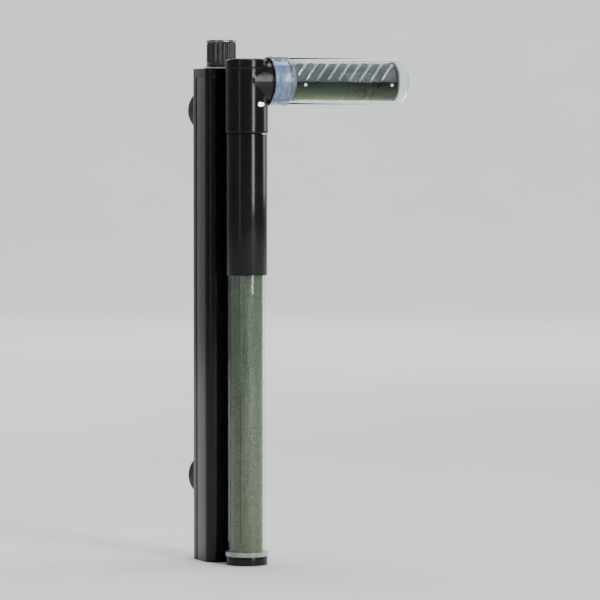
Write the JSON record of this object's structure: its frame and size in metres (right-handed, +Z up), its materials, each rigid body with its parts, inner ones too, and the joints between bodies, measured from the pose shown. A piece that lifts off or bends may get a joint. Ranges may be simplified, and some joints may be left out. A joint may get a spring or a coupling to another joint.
{
  "type": "submersible aquarium heater",
  "caption": "Corner aquarium heater: black column with temperature knob, swivelling head with a horizontal glass heating tube, lower vertical glass tube and a suction cup bracket.",
  "frame": {"origin": "centre of the upper suction cup's sealing lip, on the plane of the aquarium's wall", "axes": "+Y into the wall, square to it; +Z up along the column; +X along the wall, the way the upper glass tube points"},
  "size_m": [0.088, 0.0488, 0.2264],
  "materials": {
    "gloss_black": "deep gloss black moulding",
    "bracket_black": "satin black moulding",
    "cup_rubber": "smoky black rubber",
    "silicone": "pale translucent silicone",
    "seal_rubber": "matt black rubber",
    "satin_black": "satin black moulding",
    "dial_white": "printed off-white scale",
    "brass": "turned brass",
    "zinc_steel": "zinc plated steel",
    "porcelain": "fired white porcelain",
    "bimetal": "rolled bimetal",
    "magnet": "sintered ferrite",
    "capacitor_coat": "dipped resin coat",
    "cutout_case": "drawn aluminium case",
    "wire_sleeving": "silicone wire sleeving",
    "dial_cap": "smoked metal cap",
    "rim_plastic": "clear moulded ring",
    "bright_steel": "bright polished steel",
    "clear_glass": "clear heater glass",
    "sand": "packed grey-green quartz sand",
    "resistance_wire": "resistance alloy",
    "winding_strand": "flat bright resistance ribbon",
    "pointer_red": "inlaid red pointer",
    "nylon": "natural nylon",
    "contact_copper": "copper alloy spring strip",
    "contact_silver": "silver contact",
    "collar_blue": "bluish translucent collar",
    "mica": "pressed mica",
    "dark_ceramic": "dark fired ceramic",
    "reflector": "dull olive reflector sheet",
    "lens": "clear lamp lens",
    "lamp_glow": "lit pilot lamp"
  },
  "bodies": {
    "wall_bracket": {"hook_plate": "bracket_black", "upper_suction_cup": "cup_rubber", "lower_suction_cup": "cup_rubber"},
    "column": {"column_housing": "gloss_black", "back_cover": "gloss_black", "cover_gasket": "silicone", "cover_screws": "bright_steel", "top_cap": "gloss_black", "gland_seal": "seal_rubber", "gland_nut": "satin_black", "dial_ring": "dial_white", "spindle_bush": "brass", "thermostat_frame": "zinc_steel", "pivot_pin": "zinc_steel", "insulator_block": "porcelain", "fixed_contact": "brass", "bimetal_strip": "bimetal", "snap_magnet": "magnet", "suppression_capacitor": "capacitor_coat", "thermal_cutout": "cutout_case", "terminal_block": "porcelain", "terminal_screws": "brass", "column_wires": "wire_sleeving", "tube_sleeve": "gloss_black", "sleeve_grommet": "silicone", "lower_glass": "clear_glass", "sand_fill": "sand", "lower_former": "porcelain", "lower_coil": "resistance_wire", "lower_leads": "resistance_wire", "return_lead": "resistance_wire", "end_ring": "rim_plastic", "foot_pad": "seal_rubber", "foot_bracket": "gloss_black", "tube_screws": "bright_steel"},
    "dial": {"knob": "satin_black", "knob_cap": "dial_cap", "knob_pointer": "pointer_red", "spindle": "bright_steel", "spindle_seals": "seal_rubber"},
    "adjuster": {"adjuster_plunger": "nylon"},
    "contact_lever": {"contact_arm": "contact_copper", "moving_contact": "contact_silver"},
    "swivel_head": {"elbow_head": "gloss_black", "head_plug": "gloss_black", "neck_seal": "seal_rubber", "neck_clip": "zinc_steel", "tube_collar": "collar_blue", "tube_seal": "silicone", "upper_glass": "clear_glass", "glass_plug": "silicone", "spacer_discs": "mica", "ceramic_former": "dark_ceramic", "heating_winding": "winding_strand", "reflector_tray": "reflector", "tray_rivets": "bright_steel", "tie_rod": "zinc_steel", "upper_leads": "resistance_wire", "pilot_lens": "lens", "pilot_lamp": "lamp_glow"}
  },
  "joints": [
    {"name": "lift_off", "type": "slide", "parent": "wall_bracket", "child": "column", "axis": [0, 0, 1], "range_m": [0, 0.014]},
    {"name": "dial_turn", "type": "hinge", "parent": "column", "child": "dial", "pos_m": [-0.0015, -0.0185, 0.018], "axis": [0, 0, 1], "range_deg": [-150, 150]},
    {"name": "plunger_travel", "type": "slide", "parent": "column", "child": "adjuster", "axis": [0, 0, 1], "range_m": [-0.0006, 0.0006]},
    {"name": "lever_tilt", "type": "hinge", "parent": "column", "child": "contact_lever", "pos_m": [-0.0075, -0.0185, -0.0241], "axis": [0, 1, 0], "range_deg": [-5.5, 5.5]},
    {"name": "head_swivel", "type": "hinge", "parent": "column", "child": "swivel_head", "pos_m": [0.0025, -0.038, -0.016], "axis": [0, 0, 1], "range_deg": [-90, 0]}
  ],
  "couplings": [
    {"joint": "plunger_travel", "follows": "dial_turn", "m_per_rad": -0.00019099},
    {"joint": "lever_tilt", "follows": "dial_turn", "ratio": 0.031831}
  ]
}
